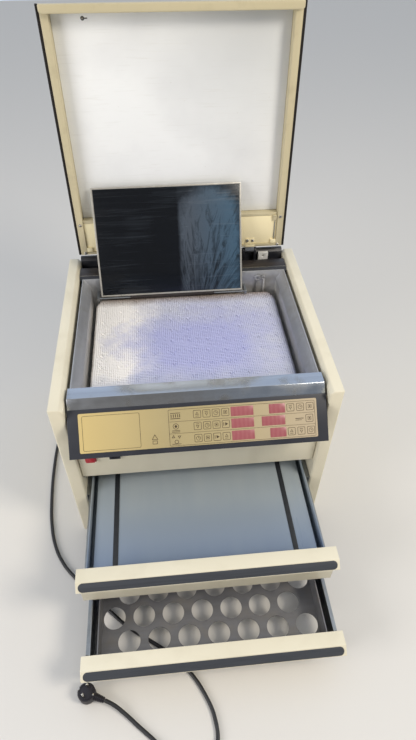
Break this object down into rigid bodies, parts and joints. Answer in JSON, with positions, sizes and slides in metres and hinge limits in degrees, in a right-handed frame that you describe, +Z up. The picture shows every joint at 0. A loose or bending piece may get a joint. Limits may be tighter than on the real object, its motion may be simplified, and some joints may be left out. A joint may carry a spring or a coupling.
{
  "type": "photopolymer printing plate processor",
  "caption": "Bench-top printing plate processor: brush washing basin under a hinged lid with a plate carrier, a sloped keypad, a vacuum exposure drawer and a perforated drying drawer.",
  "frame": {"origin": "on the floor, under the centre of the machine's box at rest, without its mains cable", "axes": "+Z up, -Y out of the front with the keypad and drawers, +X to the right of someone who faces the front"},
  "size_m": [0.6867, 1.2151, 1.0163],
  "materials": {
    "cream_enamel": "semi-gloss cream enamel on steel sheet",
    "charcoal_enamel": "satin charcoal enamel",
    "stainless": "brushed stainless sheet",
    "zinc_steel": "zinc plated steel",
    "grey_enamel": "grey-blue enamel on aluminium",
    "dark_steel": "black enamel on steel",
    "label_foil": "gold keypad foil",
    "red_plastic": "red switch plastic",
    "black_plastic": "black moulded plastic",
    "black_rubber": "black rubber",
    "white_plastic": "white plastic sheet",
    "bristle": "off-white nylon bristles",
    "board_plastic": "grey plastic board",
    "carrier_film": "dark glossy film",
    "carrier_edge": "pale aluminium edge",
    "brown_steel": "dark brown steel",
    "lamp_glass": "frosted white lamp glass"
  },
  "bodies": {
    "cabinet": {"left_panel": "cream_enamel", "right_panel": "cream_enamel", "rear_panel": "cream_enamel", "floor_tie": "dark_steel", "middle_deck": "zinc_steel", "lamp_housing": "zinc_steel", "lamp_tubes": "lamp_glass", "apron": "cream_enamel", "control_housing": "charcoal_enamel", "keypad_label": "label_foil", "main_switch": "red_plastic", "side_socket": "black_plastic", "basin": "stainless", "front_rim": "stainless", "brush_board": "board_plastic", "bristle_bed": "bristle", "spray_nozzle": "stainless", "rear_shelf": "dark_steel", "hinge_rail": "dark_steel", "lid_switch": "white_plastic", "hinge_brackets": "zinc_steel", "upper_channels": "zinc_steel", "lower_channels": "zinc_steel", "carrier_lugs": "zinc_steel", "cable_gland": "black_plastic", "drain_spigot": "zinc_steel", "cord": "black_rubber", "plug": "black_plastic"},
    "lid": {"lid_shell": "cream_enamel", "lid_trims": "black_rubber", "lid_liner": "white_plastic", "lid_foot_panel": "cream_enamel", "lid_cross_strip": "cream_enamel", "lid_lip": "cream_enamel", "lid_knuckles": "zinc_steel"},
    "carrier": {"carrier_frame": "carrier_edge", "carrier_sheet": "carrier_film", "carrier_bar": "brown_steel"},
    "upper_drawer": {"upper_front": "cream_enamel", "upper_inlay": "charcoal_enamel", "upper_pan": "grey_enamel", "vacuum_bed": "grey_enamel", "bed_seals": "black_rubber", "upper_runners": "zinc_steel"},
    "lower_drawer": {"lower_front": "cream_enamel", "lower_inlay": "charcoal_enamel", "lower_sides": "dark_steel", "perforated_tray": "stainless", "lower_runners": "zinc_steel"}
  },
  "joints": [
    {"name": "lid_hinge", "type": "hinge", "parent": "cabinet", "child": "lid", "pos_m": [0, 0.40086, 0.47], "axis": [1, 0, 0], "range_deg": [0, 93.64]},
    {"name": "carrier_fold", "type": "hinge", "parent": "cabinet", "child": "carrier", "pos_m": [-0.0335, 0.30386, 0.408], "axis": [1, 0, 0], "range_deg": [0, 114.6]},
    {"name": "upper_drawer_slide", "type": "slide", "parent": "cabinet", "child": "upper_drawer", "axis": [0, 1, 0], "range_m": [0, 0.198]},
    {"name": "lower_drawer_slide", "type": "slide", "parent": "cabinet", "child": "lower_drawer", "axis": [0, 1, 0], "range_m": [0, 0.324]}
  ],
  "couplings": [
    {"joint": "carrier_fold", "follows": "lid_hinge", "ratio": 1.2237}
  ]
}
